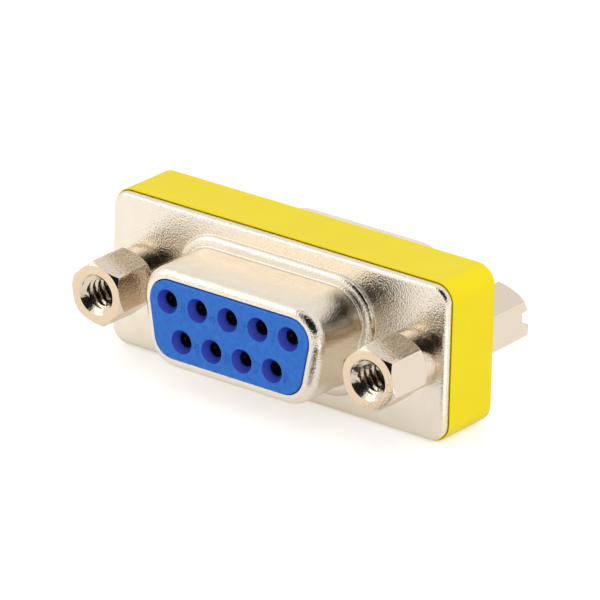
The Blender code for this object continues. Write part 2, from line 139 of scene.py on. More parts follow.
JACKSCREW_BORE_DEPTH = 3.30 * MM
SLOT_WIDTH = 1.00 * MM
SLOT_DEPTH = 0.75 * MM
SLOT_CUT_LENGTH = 6.00 * MM
STUD_GRIP = 2.20 * MM
STUD_CHAMFER = 0.45 * MM
UNDERCUT_DEPTH = 0.15 * MM
UNDERCUT_LENGTH = 0.20 * MM
SEAT_GAP = 0.02 * MM

# Steps of arcs and turns, and the small values of the meshes
CORNER_STEPS = 20
BEND_STEPS = 8
ROOT_STEPS = 4
BEAD_STEPS = 12
FOOT_STEPS = 5
LIP_OUTER_STEPS = 14
LIP_INNER_STEPS = 10
EDGE_STEPS = 3
NOSE_EDGE_STEPS = 4
SCREW_HOLE_STEPS = 64
BORE_STEPS = 48
HEX_CORNER_ANGLES = (0.0, 0.35, 0.7, 1.2, 2.5, 5, 9, 13, 17, 21, 25, 30)
SUPPORT = 0.05 * MM
OVERCUT = 0.50 * MM
WELD = 0.0004 * MM
SHEET_SHARP = 40 * DEG
MOULDED_SHARP = 30 * DEG
SCREW_SHARP = 28 * DEG

# Surface: the part of a noise's range over which it changes a colour or roughness
NOISE_LOW = 0.3
NOISE_HIGH = 0.7

# Studio: glows are emission strengths, lengths are metres
FLOOR_HALF_SIZE = 3.0
FLOOR_DROP = 0.02 * MM
FLOOR_LIFT = 0.47
FLOOR_GLOSSY_SHARE = 0.64
CARD_DISTANCE = 0.8
CARD_HEIGHT = 0.3 * MM
CARD_FADE_END = 0.50
WORLD_TINT = (1, 0.99, 0.97)
WORLD_STRENGTH = 0.88

# Camera: the photograph's view, found by fitting the known screw and contact distances
CAMERA_AZIMUTH = 36.831 * DEG
CAMERA_ELEVATION = 22.075 * DEG
CAMERA_ROLL = 1.454 * DEG
CAMERA_DISTANCE = 493.82 * MM
AIM_RIGHT = 1.739 * MM
AIM_UP = 1.169 * MM
FOCAL_PIXELS = 6752.3
PHOTO_PIXELS = 600
SENSOR_WIDTH = 36
CLIP_START = 0.01
CLIP_END = 20

# What follows from the values above
SHELL_WIDTH = (LONG_ROW - 1) * PITCH + 2 * SHELL_END_MARGIN
SHELL_HEIGHT = ROW_SPACING + 2 * SHELL_ROW_MARGIN
SCREW_SPACING = SHELL_WIDTH + 2 * SCREW_MARGIN
BODY_WIDTH = SCREW_SPACING + 2 * PLATE_END_MARGIN
BODY_HEIGHT = SHELL_HEIGHT + 2 * PLATE_SIDE_MARGIN
SHOULDER_ROUND = SHEET + SHOULDER_INNER_ROUND
BEND_RADIUS = SHEET + BEND_INNER_RADIUS
AXIS_HEIGHT = BODY_HEIGHT / 2 + BAND_LIFT + BAND_THICKNESS
HALF_DEPTH = BODY_DEPTH / 2
TRAY_RIM = -(HALF_DEPTH - TRAY_SEAM / 2)
FACE_REACH = SHELL_REACH + FACE_RISE
NOSE_STEP_REACH = SHELL_REACH - LIP_RADIUS - NOSE_STEP_SETBACK + NOSE_STEP_LENGTH
INNER_INSET = SHEET + SEATING_GAP
POCKET_FLOOR = INNER_INSET + FLANGE_FLOOR
SCREW_HOLE_RADIUS = THREAD_RADIUS + SCREW_HOLE_SLACK

FRONT = Matrix.Translation((0, -HALF_DEPTH, AXIS_HEIGHT))
REAR = Matrix.Translation((0, HALF_DEPTH, AXIS_HEIGHT)) @ Matrix.Rotation(math.pi, 4, "X")
CENTRE = Matrix.Translation((0, 0, AXIS_HEIGHT))


def arc(centre, radius, start, end, steps):
    """Points on an arc of a section; the angles are in degrees."""
    points = []
    for step in range(steps + 1):
        angle = (start + (end - start) * step / steps) * DEG
        points.append((centre[0] + radius * math.cos(angle), centre[1] + radius * math.sin(angle)))
    return points


def bead(start, end, steps):
    """Quarter of an ellipse that rises from the start and levels out at the end."""
    points = []
    for x, y in arc((0, 0), 1, 180, 90, steps):
        points.append((end[0] + (end[0] - start[0]) * x, start[1] + (end[1] - start[1]) * y))
    return points


def outline(corners, radius):
    """Closed outline of one arc per corner, which is (x, z, start angle, end angle)."""
    points = []
    for x, z, start, end in corners:
        points += arc((x, z), radius, start, end, CORNER_STEPS)
    return points


def rectangle_corners(width, height, radius):
    x = width / 2 - radius
    z = height / 2 - radius
    return [(x, z, 0, 90), (-x, z, 90, 180), (-x, -z, 180, 270), (x, -z, 270, 360)]


def body_outline(inset):
    """Outline of the body, moved inwards by an inset."""
    return outline(rectangle_corners(BODY_WIDTH, BODY_HEIGHT, BODY_CORNER), BODY_CORNER - inset)


def shell_outline(inset):
    """Outline of the D, moved inwards by an inset."""
    slant = SHELL_SLANT / DEG
    z = SHELL_HEIGHT / 2 - SHELL_CORNER
    wide = SHELL_WIDTH / 2 - SHELL_CORNER
    narrow = wide - 2 * z * math.tan(SHELL_SLANT)
    corners = [
        (wide, z, -slant, 90),
        (-wide, z, 90, 180 + slant),
        (-narrow, -z, 180 + slant, 270),
        (narrow, -z, 270, 360 - slant),
    ]
    return outline(corners, SHELL_CORNER - inset)


def circle(centre_x, radius, steps):
    return arc((centre_x, 0), radius, 0, 360, steps)[:-1]


def full_turn(steps):
    return [2 * math.pi * step / steps for step in range(steps + 1)]


def add_ring(bm, points, reach):
    return [bm.verts.new((x, -reach, z)) for x, z in points]


def loop_edges(bm, ring):
    return [bm.edges.get(pair) or bm.edges.new(pair) for pair in zip(ring, ring[1:] + ring[:1])]


def skin(bm, rings):
    """Joins each ring to the next one, point by point."""
    for lower, upper in zip(rings, rings[1:]):
        for low in range(len(lower)):
            high = (low + 1) % len(lower)
            bm.faces.new((lower[low], lower[high], upper[high], upper[low]))


def mesh_of(bm, name):
    """Mesh of a bmesh, which is freed."""
    mesh = bpy.data.meshes.new(name)
    bm.to_mesh(mesh)
    bm.free()
    return mesh


def solid_of(bm, name):
    """Mesh of a closed bmesh, with its faces turned outwards."""
    bmesh.ops.recalc_face_normals(bm, faces=bm.faces)
    return mesh_of(bm, name)


def linked(data):
    """Object in the scene for a mesh, text, lamp or camera, with its name."""
    item = bpy.data.objects.new(data.name, data)
    bpy.context.scene.collection.objects.link(item)
    return item


def baked(item, name):
    """Mesh that an object gives with its modifiers; the object is removed."""
    bpy.context.view_layer.update()
    graph = bpy.context.evaluated_depsgraph_get()
    mesh = bpy.data.meshes.new_from_object(item.evaluated_get(graph), depsgraph=graph)
    mesh.name = name
    bpy.data.objects.remove(item, do_unlink=True)
    return mesh


def combined(base, steps, name):
    """Mesh of a base after a list of (boolean operation, tool mesh) steps."""
    item = linked(base)
    tools = []
    for operation, mesh in steps:
        tool = linked(mesh)
        modifier = item.modifiers.new(mesh.name, "BOOLEAN")
        modifier.operation = operation
        modifier.solver = "EXACT"
        modifier.object = tool
        tools.append(tool)
    result = baked(item, name)
    for tool in tools:
        bpy.data.objects.remove(tool, do_unlink=True)
    return result


def shaded(mesh, sharp):
    """The mesh, smooth but for the edges that are sharper than an angle."""
    mesh.shade_smooth()
    mesh.set_sharp_from_angle(angle=sharp)
    return mesh


def piece(name, mesh, matrix, node=None):
    """One shown piece, which stands for a CAD node if one is named."""
    item = bpy.data.objects.new(name, mesh)
    item.matrix_world = matrix
    bpy.context.scene.collection.objects.link(item)
    weighted = item.modifiers.new("Normals", "WEIGHTED_NORMAL")
    weighted.keep_sharp = True
    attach(item, "root")
    if node:
        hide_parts(node)


def rounded_end(start, end):
    """Rounded rim of a sheet, from the end of one face to the end of the other."""
    (x0, y0), (x1, y1) = start, end
    if abs(x0 - x1) < WELD:
        first = (x0 - RIM_ROUND, y0 - RIM_ROUND)
        second = (x1 - RIM_ROUND, y1 + RIM_ROUND)
        angles = (90, 0, -90)
    else:
        first = (x0 + RIM_ROUND, y0 + RIM_ROUND)
        second = (x1 - RIM_ROUND, y1 + RIM_ROUND)
        angles = (180, 270, 360)
    rim = arc(first, RIM_ROUND, angles[0], angles[1], EDGE_STEPS)
    return rim + arc(second, RIM_ROUND, angles[1], angles[2], EDGE_STEPS)


def tray_section():
    """Section of the tray: outside from the plate round the bend to the rim, then back inside."""
    centre = (BEND_RADIUS, -BEND_RADIUS)
    outside = [(BEND_RADIUS + SUPPORT, 0)] + arc(centre, BEND_RADIUS, 90, 180, BEND_STEPS)
    inside = arc(centre, BEND_INNER_RADIUS, 180, 90, BEND_STEPS) + [(BEND_RADIUS + SUPPORT, -SHEET)]
    return outside + rounded_end((0, TRAY_RIM), (SHEET, TRAY_RIM)) + inside


def drawn_section():
    """Section of the D: outside over root, shoulder, foot and wall to the lip, then back inside."""
    root = (-SHOULDER_WIDTH - SHOULDER_ROOT, SHOULDER_ROOT)
    shoulder = (SHOULDER_ROUND - SHOULDER_WIDTH, SHOULDER_ROOT)
    foot = (-FOOT_ROUND, SHOULDER_ROOT + SHOULDER_ROUND + FOOT_ROUND)
    lip = (LIP_RADIUS, SHELL_REACH - LIP_RADIUS)
    outside = [(root[0] - SUPPORT, 0)] + arc(root, SHOULDER_ROOT, -90, 0, ROOT_STEPS)
    outside += bead(outside[-1], (foot[0], SHOULDER_ROOT + SHOULDER_ROUND), BEAD_STEPS)[1:]
    outside += arc(foot, FOOT_ROUND, -90, 0, FOOT_STEPS)[1:]
    outside += arc(lip, LIP_RADIUS, 180, LIP_OUTER_END, LIP_OUTER_STEPS)
    inside = [(root[0] - SUPPORT, -SHEET)] + arc(root, SHOULDER_ROOT + SHEET, -90, 0, ROOT_STEPS)
    inside += arc(shoulder, SHOULDER_INNER_ROUND, 180, 90, BEND_STEPS)[1:]
    inside += arc(foot, FOOT_ROUND + SHEET, -90, 0, FOOT_STEPS)
    inside += arc(lip, LIP_RADIUS - SHEET, 180, LIP_INNER_END, LIP_INNER_STEPS)
    rim = rounded_end((LIP_RADIUS, SHELL_REACH), (LIP_RADIUS, SHELL_REACH - SHEET))
    return outside + rim + inside[::-1]


def build_shell():
    """One sheet: the tray and the D, joined by both faces of the plate round the screw holes."""
    bm = bmesh.new()
    tray = [add_ring(bm, body_outline(inset), reach) for inset, reach in tray_section()]
    drawn = [add_ring(bm, shell_outline(inset), reach) for inset, reach in drawn_section()]
    skin(bm, tray)
    skin(bm, drawn)
    holes = []
    for side in (-1, 1):
        points = circle(side * SCREW_SPACING / 2, SCREW_HOLE_RADIUS, SCREW_HOLE_STEPS)
        holes.append([add_ring(bm, points, 0), add_ring(bm, points, -SHEET)])
        skin(bm, holes[-1])
    for face in (0, -1):
        edges = []
        for rings in (tray, drawn, *holes):
            edges += loop_edges(bm, rings[face])
        bmesh.ops.triangle_fill(bm, use_beauty=True, edges=edges)
    return shaded(solid_of(bm, "shell"), SHEET_SHARP)


def build_band():
    """Film round the body, with rounded edges."""
    bm = bmesh.new()
    inner = -BAND_LIFT - BAND_EDGE
    outer = BAND_EDGE - BAND_LIFT - BAND_THICKNESS
    front = HALF_DEPTH - BAND_FRONT_SETBACK - BAND_EDGE
    rear = BAND_REAR_SETBACK + BAND_EDGE - HALF_DEPTH
    section = arc((outer, front), BAND_EDGE, 180, 90, EDGE_STEPS)
    section += arc((inner, front), BAND_EDGE, 90, 0, EDGE_STEPS)
    section += arc((inner, rear), BAND_EDGE, 0, -90, EDGE_STEPS)
    section += arc((outer, rear), BAND_EDGE, -90, -180, EDGE_STEPS)
    rings = [add_ring(bm, body_outline(inset), place) for inset, place in section]
    skin(bm, rings + rings[:1])
    return shaded(solid_of(bm, "band"), SHEET_SHARP)


def build_loft(name, rings):
    """Solid through a list of (outline, reach) rings."""
    bm = bmesh.new()
    loops = [add_ring(bm, points, reach) for points, reach in rings]
    skin(bm, loops)
    bm.faces.new(loops[0])
    bm.faces.new(loops[-1])
    return solid_of(bm, name)


def build_columns(name, column, angles, closed):
    """Solid from a column of (radius, height) points at each angle about Z.

    A closed column is a loop round a through hole, and an open one starts and ends on Z.
    """
    bm = bmesh.new()
    columns = []
    for angle in angles:
        cosine, sine = math.cos(angle), math.sin(angle)
        columns.append([bm.verts.new((r * cosine, r * sine, h)) for r, h in column(angle)])
    count = len(columns[0])
    for left, right in zip(columns, columns[1:]):
        for low in range(count if closed else count - 1):
            high = (low + 1) % count
            bm.faces.new((left[low], right[low], right[high], left[high]))
    bmesh.ops.remove_doubles(bm, verts=bm.verts, dist=WELD)
    bmesh.ops.dissolve_degenerate(bm, edges=bm.edges, dist=WELD)
    return solid_of(bm, name)


def build_turned(name, profile):
    return build_columns(name, lambda angle: profile, full_turn(BORE_STEPS), False)


def build_copies(name, mesh, matrices):
    """One mesh of several placed copies."""
    bm = bmesh.new()
    for matrix in matrices:
        copy = mesh.copy()
        copy.transform(matrix)
        bm.from_mesh(copy)
        bpy.data.meshes.remove(copy)
    return solid_of(bm, name)


def hex_angles():
    """Angles about a hexagon, closer together at its corners, where the edge is rounded."""
    angles = []
    for corner in range(-30, 330, 60):
        angles += [corner + angle for angle in HEX_CORNER_ANGLES]
        angles += [corner + 60 - angle for angle in HEX_CORNER_ANGLES[:-1]]
    return sorted({round(angle, 4) * DEG for angle in angles})


def hex_radius(angle):
    """Distance from a hexagon's axis to its side, whose corners are rounded."""
    off_middle = (angle / DEG + 30) % 60 - 30
    flat = HEX_APOTHEM / math.cos(off_middle * DEG)
    corner_distance = (HEX_APOTHEM - EDGE_ROUND) / math.cos(30 * DEG)
    off_corner = (30 - abs(off_middle)) * DEG
    across = corner_distance * math.sin(off_corner)
    if across > EDGE_ROUND * math.sin(30 * DEG):
        return flat
    return min(flat, corner_distance * math.cos(off_corner) + math.sqrt(EDGE_ROUND**2 - across**2))


def hex_end(side, top):
    """Section of a hexagon's chamfered end at one angle, from the face out to the side."""
    r = EDGE_ROUND
    normal = (math.sin(HEX_CHAMFER_SLOPE), math.cos(HEX_CHAMFER_SLOPE))
    offset = HEX_FACE_RADIUS * normal[0] + top * normal[1] - r
    first = ((offset - (top - r) * normal[1]) / normal[0], top - r)
    second = (side - r, (offset - (side - r) * normal[0]) / normal[1])
    if first[0] > second[0]:
        first = second = (side - r, top - r)
    middle = 90 - HEX_CHAMFER_SLOPE / DEG
    return arc(first, r, 90, middle, EDGE_STEPS) + arc(second, r, middle, 0, EDGE_STEPS)


def hex_outside(angle, top, bottom):
    """Section of the whole hexagon from its end face down to its lower face."""
    upper = hex_end(hex_radius(angle), top)
    return upper + [(radius, bottom + top - height) for radius, height in reversed(upper)]


def neck(length):
    """Section of the round neck, from the hexagon down to its seat."""
    waist = NECK_RADIUS - UNDERCUT_DEPTH
    return [
        (NECK_RADIUS, length),
        (NECK_RADIUS, SEAT_GAP + UNDERCUT_LENGTH + UNDERCUT_DEPTH),
        (waist, SEAT_GAP + UNDERCUT_LENGTH),
        (waist, SEAT_GAP),
    ]


def thread(angle, top, bottom, outer, inner, envelope, phase=0):
    """Points on a thread's side at one angle, from the top to the bottom.

    Spare turns past both ends are squeezed onto them, because the helix climbs a turn on its way
    round and every column needs as many points. The envelope maps a (radius, height) to a radius.
    """
    flank = (1 - OUTER_FLAT - INNER_FLAT) / 2
    shape = [
        (0, outer),
        (OUTER_FLAT, outer),
        (OUTER_FLAT + flank / 2, (outer + inner) / 2),
        (OUTER_FLAT + flank, inner),
        (OUTER_FLAT + flank + INNER_FLAT, inner),
        (1 - flank / 2, (outer + inner) / 2),
    ]
    climb = angle / (2 * math.pi) + phase - OUTER_FLAT / 2
    first_turn = math.ceil(top / THREAD_PITCH - phase) + SPARE_TURNS
    last_turn = math.floor(bottom / THREAD_PITCH - phase) - SPARE_TURNS - 1
    points = []
    for turn in range(first_turn, last_turn - 1, -1):
        for share, radius in reversed(shape):
            height = min(max((turn + climb + share) * THREAD_PITCH, bottom), top)
            points.append((envelope(radius, height), height))
    return points


def threaded_bore(angle, reach, bottom):
    """Section of a threaded bore whose mouth opens at a reach."""

    def open_mouth(radius, height):
        return max(radius, MOUTH_RADIUS - MOUTH_SLOPE * (reach - height))

    return thread(angle, reach, bottom, THREAD_RADIUS, CREST_RADIUS, open_mouth)


def build_standoff(side, end):
    """Hexagonal standoff on a round neck, threaded right through, with its own end material, whose golden
    tint is a painted reflection.
    """

    def column(angle):
        bore = threaded_bore(angle, STANDOFF_REACH, SEAT_GAP)
        outside = hex_outside(angle, STANDOFF_REACH, STANDOFF_NECK_LENGTH)
        return outside + neck(STANDOFF_NECK_LENGTH) + bore[::-1]

    mesh = build_columns("standoff", column, hex_angles(), True)
    mesh.materials.append(side)
    mesh.materials.append(end)
    # End-facing faces round the mouth take the golden material, a painted reflection.
    for polygon in mesh.polygons:
        past_mouth = polygon.center.xy.length > MOUTH_RADIUS - END_RING_MARGIN
        polygon.material_index = int(past_mouth and polygon.normal.z > END_RING_FACING)
    return shaded(mesh, SCREW_SHARP)


def build_jackscrew():
    """Hexagonal screw with a blind threaded bore, a slot across its end and a threaded stud.

    The stud's phase puts its turns into the grooves of the standoff that it holds.
    """
    bore_end = JACKSCREW_REACH - JACKSCREW_BORE_DEPTH
    stud_end = -(BODY_DEPTH + STUD_GRIP)
    phase = (BODY_DEPTH / THREAD_PITCH + (JACKSCREW_TURN - STANDOFF_TURN) / (2 * math.pi)) % 1

    def stud_tip(radius, height):
        return min(radius, THREAD_RADIUS - STUD_CHAMFER + (height - stud_end))

    def column(angle):
        bore = threaded_bore(angle, JACKSCREW_REACH, bore_end)
        outside = hex_outside(angle, JACKSCREW_REACH, JACKSCREW_NECK_LENGTH) + neck(JACKSCREW_NECK_LENGTH)
        stud = thread(angle, SEAT_GAP, stud_end, THREAD_RADIUS, STUD_ROOT_RADIUS, stud_tip, phase)
        return [(0, bore_end)] + bore[::-1] + outside + stud + [(0, stud_end)]

    blank = build_columns("blank", column, hex_angles(), False)
    bm = bmesh.new()
    size = (SLOT_CUT_LENGTH, SLOT_WIDTH, SLOT_DEPTH + OVERCUT)
    middle = Matrix.Translation((0, 0, JACKSCREW_REACH - SLOT_DEPTH + size[2] / 2))
    bmesh.ops.create_cube(bm, size=1, matrix=middle @ Matrix.Diagonal((*size, 1)))
    slot = solid_of(bm, "slot")
    return shaded(combined(blank, [("DIFFERENCE", slot)], "jackscrew"), SCREW_SHARP)


def way_places():
    rows = [(LONG_ROW, ROW_SPACING / 2), (SHORT_ROW, -ROW_SPACING / 2)]
    return [((step - (count - 1) / 2) * PITCH, z) for count, z in rows for step in range(count)]


def out_of_face(x, z):
    """Matrix that stands a turned shape's Z along a half's outward direction at (x, z)."""
    return Matrix.Translation((x, 0, z)) @ Matrix.Rotation(90 * DEG, 4, "X")


def build_nose():
    """The part of the insulator that fills the D, stepped to clear the rolled lip."""
    inset = LIP_RADIUS + NOSE_GAP
    edge = arc((inset + NOSE_EDGE, FACE_REACH - NOSE_EDGE), NOSE_EDGE, 90, 180, NOSE_EDGE_STEPS)
    rings = [(shell_outline(edge_inset), reach) for edge_inset, reach in edge]
    rings += [
        (shell_outline(inset), NOSE_STEP_REACH),
        (shell_outline(INNER_INSET), NOSE_STEP_REACH - NOSE_STEP_LENGTH),
        (shell_outline(INNER_INSET), -INNER_INSET - OVERCUT),
    ]
    return build_loft("nose", rings)


def build_flange():
    """The part of the insulator that lies in the tray."""
    return build_loft("flange", [
        (body_outline(INNER_INSET + FLANGE_CHAMFER), -INNER_INSET),
        (body_outline(INNER_INSET), -INNER_INSET - FLANGE_CHAMFER),
        (body_outline(INNER_INSET), TRAY_RIM),
    ])


def build_way():
    """Cut for one way: the lead-in cone has material slot 1, a darker blue that is painted shade, and all
    behind it has slot 2, a near black that is painted shade in the hole.
    """
    slope = (LEAD_IN_RADIUS - ENTRY_RADIUS) / LEAD_IN_DEPTH
    cone_end = FACE_REACH - LEAD_IN_DEPTH
    cavity_end = -(POCKET_FLOOR + OVERCUT)
    way = build_turned("way", [
        (0, FACE_REACH + OVERCUT),
        (LEAD_IN_RADIUS + OVERCUT * slope, FACE_REACH + OVERCUT),
        (ENTRY_RADIUS + CONE_BREAK * slope, cone_end + CONE_BREAK),
        (ENTRY_RADIUS, cone_end - ENTRY_BREAK),
        (ENTRY_RADIUS, FACE_REACH - ENTRY_DEPTH),
        (CAVITY_RADIUS, FACE_REACH - ENTRY_DEPTH),
        (CAVITY_RADIUS, cavity_end),
        (0, cavity_end),
    ])
    # Slot 1 is painted shade on the cone, and slot 2 is darker painted shade deeper in the way.
    for polygon in way.polygons:
        polygon.material_index = 1 if polygon.center.z > cone_end else 2
    return way


def build_screw_hole():
    back = TRAY_RIM - OVERCUT
    return build_turned("hole", [
        (0, OVERCUT),
        (SCREW_HOLE_RADIUS, OVERCUT),
        (SCREW_HOLE_RADIUS, back),
        (0, back),
    ])


def build_pocket():
    """Cut in the back of the flange, where the contacts step from row to row."""
    width = (LONG_ROW - 1) * PITCH + 2 * (CAVITY_RADIUS + POCKET_WALL)
    height = ROW_SPACING + 2 * (CAVITY_RADIUS + POCKET_WALL)
    points = outline(rectangle_corners(width, height, POCKET_CORNER), POCKET_CORNER)
    return build_loft("pocket", [(points, -POCKET_FLOOR), (points, TRAY_RIM - OVERCUT)])


def build_insulator(materials):
    """Moulded block; its materials are those of the face, the lead-in cones with painted shade and the
    deep walls with near-black painted shade.
    """
    nose = build_nose()
    way = build_way()
    for material in materials:
        nose.materials.append(material)
        way.materials.append(material)
    ways = build_copies("ways", way, [out_of_face(x, z) for x, z in way_places()])
    hole_places = [out_of_face(side * SCREW_SPACING / 2, 0) for side in (-1, 1)]
    holes = build_copies("holes", build_screw_hole(), hole_places)
    steps = [
        ("UNION", build_flange()),
        ("DIFFERENCE", build_pocket()),
        ("DIFFERENCE", holes),
        ("DIFFERENCE", ways),
    ]
    return shaded(combined(nose, steps, "insulator"), MOULDED_SHARP)


def build_digits():
    """Small raised numbers to the right of the ways, the same on both faces."""
    bm = bmesh.new()
    for label, (x, z) in zip(WAY_LABELS, way_places()):
        text = bpy.data.curves.new("digit", "FONT")
        text.body = str(label)
        text.size = DIGIT_SIZE
        text.extrude = DIGIT_RELIEF
        text.align_x = "CENTER"
        text.align_y = "CENTER"
        mesh = baked(linked(text), "digit")
        offset = ROW_END_OFFSET if label in ROW_END_LABELS else PITCH / 2
        spot = Matrix.Translation((x + offset, -FACE_REACH, z - DIGIT_DROP))
        mesh.transform(spot @ Matrix.Rotation(90 * DEG, 4, "X"))
        bm.from_mesh(mesh)
        bpy.data.meshes.remove(mesh)
    return shaded(solid_of(bm, "digits"), MOULDED_SHARP)


def new_material(name, colour, roughness, metallic, specular=0.5):
    material = bpy.data.materials.new(name)
    material.use_nodes = True
    inputs = material.node_tree.nodes["Principled BSDF"].inputs
    inputs["Base Color"].default_value = (*colour, 1)
    inputs["Roughness"].default_value = roughness
    inputs["Metallic"].default_value = metallic
    inputs["Specular IOR Level"].default_value = specular
    return material


def add_noise(material, scale, detail, stretch=(1, 1, 1)):
    """Noise in object space; returns its factor socket."""
    nodes, links = material.node_tree.nodes, material.node_tree.links
    place = nodes.new("ShaderNodeTexCoord")
    mapping = nodes.new("ShaderNodeMapping")
    mapping.inputs["Scale"].default_value = stretch
    noise = nodes.new("ShaderNodeTexNoise")
    noise.inputs["Scale"].default_value = scale
    noise.inputs["Detail"].default_value = detail
    links.new(place.outputs["Object"], mapping.inputs["Vector"])
    links.new(mapping.outputs["Vector"], noise.inputs["Vector"])
    return noise.outputs["Fac"]


def add_bump(material, layers):
    """Bumps one after another: each is (height socket, distance, strength)."""
    nodes, links = material.node_tree.nodes, material.node_tree.links
    last = None
    for height, distance, strength in layers:
        bump = nodes.new("ShaderNodeBump")
        bump.inputs["Distance"].default_value = distance
        bump.inputs["Strength"].default_value = strength
        links.new(height, bump.inputs["Height"])
        if last:
            links.new(last.outputs["Normal"], bump.inputs["Normal"])
        last = bump
    links.new(last.outputs["Normal"], nodes["Principled BSDF"].inputs["Normal"])


def spread(material, noise, socket, low, high):
    """Drives a socket of the shader by the middle of a noise, between two values or colours."""
    nodes, links = material.node_tree.nodes, material.node_tree.links
    target = nodes["Principled BSDF"].inputs[socket]
    ramp = nodes.new("ShaderNodeMapRange")
    ramp.inputs["From Min"].default_value = NOISE_LOW
    ramp.inputs["From Max"].default_value = NOISE_HIGH
    links.new(noise, ramp.inputs["Value"])
    if isinstance(low, tuple):
        mix = nodes.new("ShaderNodeMix")
        mix.data_type = "RGBA"
        mix.inputs["A"].default_value = (*low, 1)
        mix.inputs["B"].default_value = (*high, 1)
        links.new(ramp.outputs["Result"], mix.inputs["Factor"])
        links.new(mix.outputs["Result"], target)
    else:
        ramp.inputs["To Min"].default_value = low
        ramp.inputs["To Max"].default_value = high
        links.new(ramp.outputs["Result"], target)


def add_math(tree, operation, first, second):
    """Math node on a socket and another socket or number; returns its output."""
    node = tree.nodes.new("ShaderNodeMath")
    node.operation = operation
    tree.links.new(first, node.inputs[0])
    if isinstance(second, float):
        node.inputs[1].default_value = second
    else:
        tree.links.new(second, node.inputs[1])
    return node.outputs[0]


def plated_steel():
    """Soft plating with a fine grain that breaks up its reflections."""
    material = new_material("plated_steel", (0.80, 0.72, 0.60), 0.15, 1)
    grain = add_noise(material, 6800, 2)
    cloud = add_noise(material, 900, 2)
    spread(material, cloud, "Roughness", 0.12, 0.18)
    spread(material, cloud, "Base Color", (0.78, 0.70, 0.585), (0.82, 0.74, 0.625))
    add_bump(material, [(cloud, 0.02 * MM, 0.4), (grain, 0.032 * MM, 1.0)])
    return material


def nickel(name, colour, stretch):
    """Bright plating with fine lines, drawn out by the stretch."""
    material = new_material(name, colour, 0.14, 1)
    line = add_noise(material, 4000, 3, stretch)
    grain = add_noise(material, 5000, 1)
    cloud = add_noise(material, 700, 2)
    spread(material, cloud, "Roughness", 0.10, 0.20)
    add_bump(material, [(line, 0.008 * MM, 0.6), (grain, 0.018 * MM, 1.0)])
    return material


def blue_plastic(name, low, high):
    material = new_material(name, low, 0.42, 0, specular=0.2)
    grain = add_noise(material, 5000, 3)
    cloud = add_noise(material, 3000, 2)
    spread(material, cloud, "Base Color", low, high)
    spread(material, grain, "Roughness", 0.38, 0.50)
    add_bump(material, [(grain, 0.006 * MM, 0.4)])
    return material


def yellow_film():
    material = new_material("yellow_film", (0.90, 0.74, 0.002), 0.45, 0, specular=0.15)
    grain = add_noise(material, 7000, 2)
    cloud = add_noise(material, 260, 3)
    spread(material, cloud, "Base Color", (0.850, 0.685, 0.001), (0.880, 0.715, 0.003))
    spread(material, grain, "Roughness", 0.36, 0.46)
    add_bump(material, [(cloud, 0.03 * MM, 0.10), (grain, 0.003 * MM, 0.2)])
    return material


def contact_metal():
    """Gold plating painted near black: painted shade at the bottom of the ways."""
    material = new_material("contact_metal", (0.05, 0.036, 0.02), 0.45, 1)
    grain = add_noise(material, 6000, 3)
    spread(material, grain, "Roughness", 0.40, 0.55)
    spread(material, grain, "Base Color", (0.035, 0.026, 0.014), (0.06, 0.045, 0.024))
    add_bump(material, [(grain, 0.004 * MM, 0.3)])
    return material


def add_halves():
    """Shell, insulator and numbers of the front half, and the same of the rear, turned over."""
    face = blue_plastic("blue_plastic", (0.024, 0.146, 0.560), (0.033, 0.186, 0.670))
    # Same plastic as the face, painted darker: painted shade on the lead-in cones, and near-black painted
    # shade deeper in the ways.
    painted_cone_shade = blue_plastic("blue_plastic_painted_cone_shade", (0.026, 0.048, 0.385), (0.031, 0.054, 0.410))
    painted_deep_shade = blue_plastic("blue_plastic_painted_deep_shade", (0.002, 0.003, 0.010), (0.004, 0.005, 0.016))
    shell = build_shell()
    shell.materials.append(plated_steel())
    insulator = build_insulator((face, painted_cone_shade, painted_deep_shade))
    digits = build_digits()
    digits.materials.append(face)
    for name, matrix in (("front", FRONT), ("rear", REAR)):
        piece(f"{name}_shell_finish", shell, matrix, f"{name}_shell")
        piece(f"{name}_insulator_finish", insulator, matrix, f"{name}_insulator")
        piece(f"{name}_digits", digits, matrix)


def add_band():
    band = build_band()
    band.materials.append(yellow_film())
    piece("label_band_finish", band, CENTRE, "label_band")


def add_fasteners():
    """Standoffs in front and jackscrews at the rear, each at the angle where it came to rest."""
    plate = nickel("nickel_plate", (0.72, 0.625, 0.505), (1, 1, 0.08))
    # The golden tint of the end rings is a painted reflection.
    end_painted_reflection = nickel("nickel_end_painted_reflection", (0.72, 0.57, 0.40), (1, 1, 1))
    standoff = build_standoff(plate, end_painted_reflection)
    jackscrew = build_jackscrew()
    jackscrew.materials.append(plate)
    upright = Matrix.Rotation(90 * DEG, 4, "X")
    for name, side in (("left", -1), ("right", 1)):
        spot = Matrix.Translation((side * SCREW_SPACING / 2, 0, 0))
        turned = FRONT @ spot @ Matrix.Rotation(-STANDOFF_TURN, 4, "Y") @ upright
        piece(f"standoff_{name}_finish", standoff, turned, f"standoff_{name}")
        turned = REAR @ spot @ Matrix.Rotation(JACKSCREW_TURN, 4, "Y") @ upright
        piece(f"jackscrew_{name}_finish", jackscrew, turned, f"jackscrew_{name}")


def finish_contacts():
    """The contacts keep their CAD shape and get a near-black gold, which is painted shade."""
    metal = contact_metal()
    for number in range(1, LONG_ROW + SHORT_ROW + 1):
        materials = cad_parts[f"contact_{number}"].data.materials
        materials.clear()
        materials.append(metal)


def add_stage_plane(name, half_size, material):
    """Square that isn't part of the object, with its middle at the origin."""
    bm = bmesh.new()
    bmesh.ops.create_grid(bm, x_segments=1, y_segments=1, size=half_size)
    plane = linked(mesh_of(bm, name))
    plane.data.materials.append(material)
    return plane


